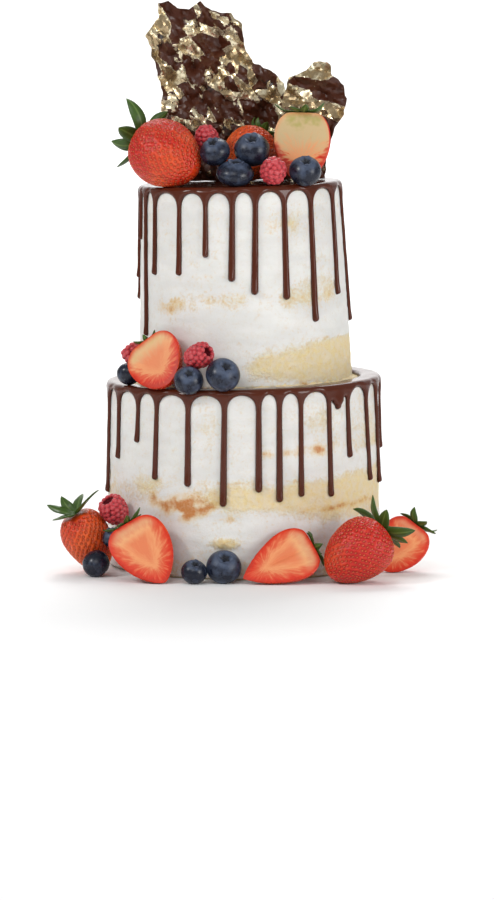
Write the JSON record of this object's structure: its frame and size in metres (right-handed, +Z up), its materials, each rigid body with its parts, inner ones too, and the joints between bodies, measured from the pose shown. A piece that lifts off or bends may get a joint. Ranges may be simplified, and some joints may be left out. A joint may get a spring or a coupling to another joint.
{
  "type": "layer cake",
  "caption": "Tiered layer cake, thinly coated so the sponge shows, with dripping chocolate ganache, fresh berries at its foot, ledge and top, and crumpled gilded chocolate.",
  "frame": {"origin": "middle of the lowest sponge's underside, on the surface that the cake stands on", "axes": "+Z up, -Y towards the front, +X to the right as seen from the front"},
  "size_m": [0.2096, 0.2043, 0.3106],
  "materials": {
    "sponge": "matte, golden crumb",
    "cream": "satin buttercream",
    "ganache": "glossy dark chocolate",
    "strawberry": "glossy ripe skin",
    "strawberry_flesh": "wet cut flesh",
    "leaf": "satin leaf",
    "blueberry": "navy with a pale bloom",
    "raspberry": "soft, slightly velvety",
    "gilded_chocolate": "dark chocolate with patches of pale gold leaf"
  },
  "bodies": {
    "root": {"lower_sponge_1": "sponge", "lower_sponge_2": "sponge", "lower_sponge_3": "sponge", "lower_filling_1": "cream", "lower_filling_2": "cream", "lower_coat": "cream", "lower_ganache": "ganache", "upper_sponge_1": "sponge", "upper_sponge_2": "sponge", "upper_sponge_3": "sponge", "upper_filling_1": "cream", "upper_filling_2": "cream", "upper_coat": "cream", "upper_ganache": "ganache", "chocolate_sail_left": "gilded_chocolate", "chocolate_sail_right": "gilded_chocolate", "strawberry_1": "strawberry", "strawberry_1_leaves": "leaf", "strawberry_2": "strawberry", "strawberry_2_leaves": "leaf", "strawberry_3": "strawberry", "strawberry_3_leaves": "leaf", "strawberry_4": "strawberry", "strawberry_4_leaves": "leaf", "strawberry_5": "strawberry", "strawberry_5_leaves": "leaf", "strawberry_half_1": "strawberry_flesh", "strawberry_half_1_leaves": "leaf", "strawberry_half_2": "strawberry_flesh", "strawberry_half_2_leaves": "leaf", "strawberry_half_3": "strawberry_flesh", "strawberry_half_3_leaves": "leaf", "strawberry_half_4": "strawberry_flesh", "strawberry_half_4_leaves": "leaf", "strawberry_half_5": "strawberry_flesh", "strawberry_half_5_leaves": "leaf", "blueberry_1": "blueberry", "blueberry_2": "blueberry", "blueberry_3": "blueberry", "blueberry_4": "blueberry", "blueberry_5": "blueberry", "blueberry_6": "blueberry", "blueberry_7": "blueberry", "blueberry_8": "blueberry", "blueberry_9": "blueberry", "blueberry_10": "blueberry", "blueberry_11": "blueberry", "blueberry_12": "blueberry", "blueberry_13": "blueberry", "blueberry_14": "blueberry", "raspberry_1": "raspberry", "raspberry_2": "raspberry", "raspberry_3": "raspberry", "raspberry_4": "raspberry", "raspberry_5": "raspberry", "raspberry_6": "raspberry", "raspberry_7": "raspberry"}
  },
  "joints": []
}
